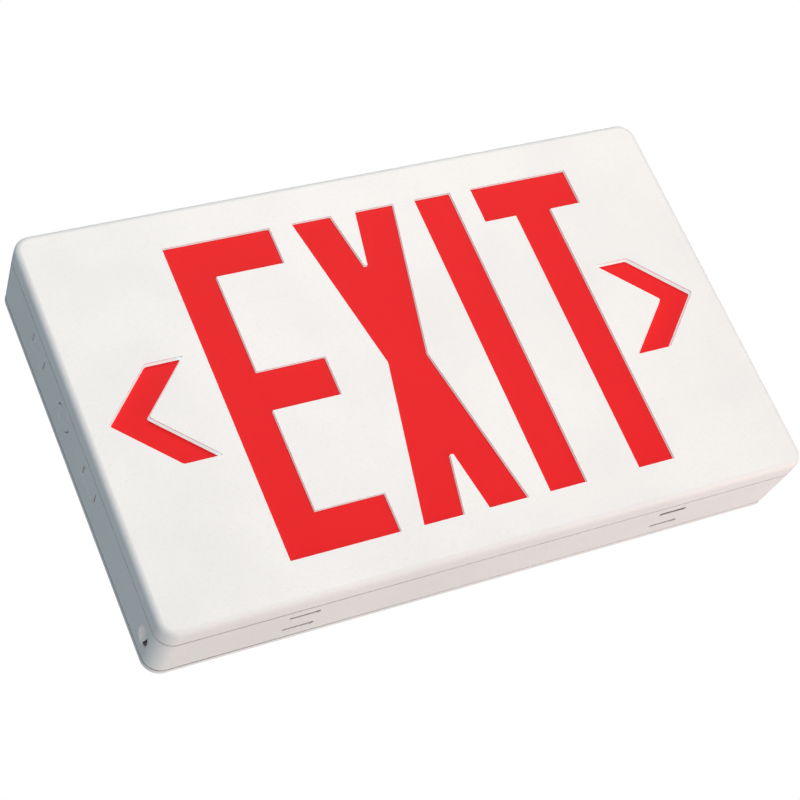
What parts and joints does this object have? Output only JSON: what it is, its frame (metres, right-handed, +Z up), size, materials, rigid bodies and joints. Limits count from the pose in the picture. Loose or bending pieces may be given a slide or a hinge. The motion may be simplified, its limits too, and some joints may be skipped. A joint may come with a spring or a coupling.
{
  "type": "emergency exit light",
  "caption": "White wall-mounted exit sign: a slim rounded box whose snap-fit cover shows red block letters and side arrows, with light strips, charger board and standby battery inside",
  "frame": {"origin": "centre of the wire entry hole in the rear face of the back plate, on the plane that lies against the wall", "axes": "+X to the right of someone who reads the sign, +Y into the wall, +Z up; the lettered face looks along -Y"},
  "size_m": [0.31, 0.041, 0.19],
  "materials": {
    "white_shell": "satin moulded thermoplastic",
    "red_lens": "translucent red, smooth",
    "board_green": "solder-masked laminate",
    "board_white": "white solder-masked laminate",
    "led_body": "moulded with phosphor well",
    "steel": "zinc plated",
    "core_steel": "varnished laminations",
    "coil_tape": "taped winding",
    "heat_sink": "black anodised",
    "chip_black": "moulded epoxy",
    "capacitor_sleeve": "shrink sleeve",
    "film_case": "moulded case",
    "relay_case": "moulded case",
    "terminal_green": "moulded",
    "battery_sleeve": "shrink sleeve",
    "cradle": "moulded",
    "lead_red": "insulated twin lead",
    "switch_black": "moulded",
    "button_red": "moulded",
    "spring_steel": "bright strip",
    "pilot_green": "translucent"
  },
  "bodies": {
    "housing": {"housing_frame": "white_shell", "back_plate": "white_shell", "light_strip_top": "board_white", "light_strip_bottom": "board_white", "strip_lead_top": "lead_red", "strip_lead_bottom": "lead_red", "charger_board": "board_green", "transformer_core": "core_steel", "transformer_coil": "coil_tape", "main_capacitor": "capacitor_sleeve", "filter_capacitor": "capacitor_sleeve", "film_capacitor": "film_case", "relay": "relay_case", "fuse": "chip_black", "control_chip": "chip_black", "rectifier": "chip_black", "terminal_block": "terminal_green", "heat_sink": "heat_sink", "regulator": "chip_black", "board_screws": "steel", "battery_pack": "battery_sleeve", "battery_cradle": "cradle", "battery_strap": "steel", "strap_screws": "steel", "battery_lead": "lead_red", "test_switch": "switch_black", "button_spring": "spring_steel", "pilot_light": "pilot_green", "led_top_1": "led_body", "led_top_2": "led_body", "led_top_3": "led_body", "led_top_4": "led_body", "led_top_5": "led_body", "led_top_6": "led_body", "led_top_7": "led_body", "led_top_8": "led_body", "led_bottom_1": "led_body", "led_bottom_2": "led_body", "led_bottom_3": "led_body", "led_bottom_4": "led_body", "led_bottom_5": "led_body", "led_bottom_6": "led_body", "led_bottom_7": "led_body", "led_bottom_8": "led_body"},
    "cover": {"face_cover": "white_shell", "legend_lens": "red_lens"},
    "button": {"test_button": "button_red"}
  },
  "joints": [
    {"name": "cover_slide", "type": "slide", "parent": "housing", "child": "cover", "axis": [0, -1, 0], "range_m": [0, 0.08]},
    {"name": "test_button_press", "type": "slide", "parent": "housing", "child": "button", "axis": [-1, 0, 0], "range_m": [0, 0.002], "stiffness_N_per_m": 300, "springref_m": -0.001, "deforming": ["button_spring"]}
  ]
}
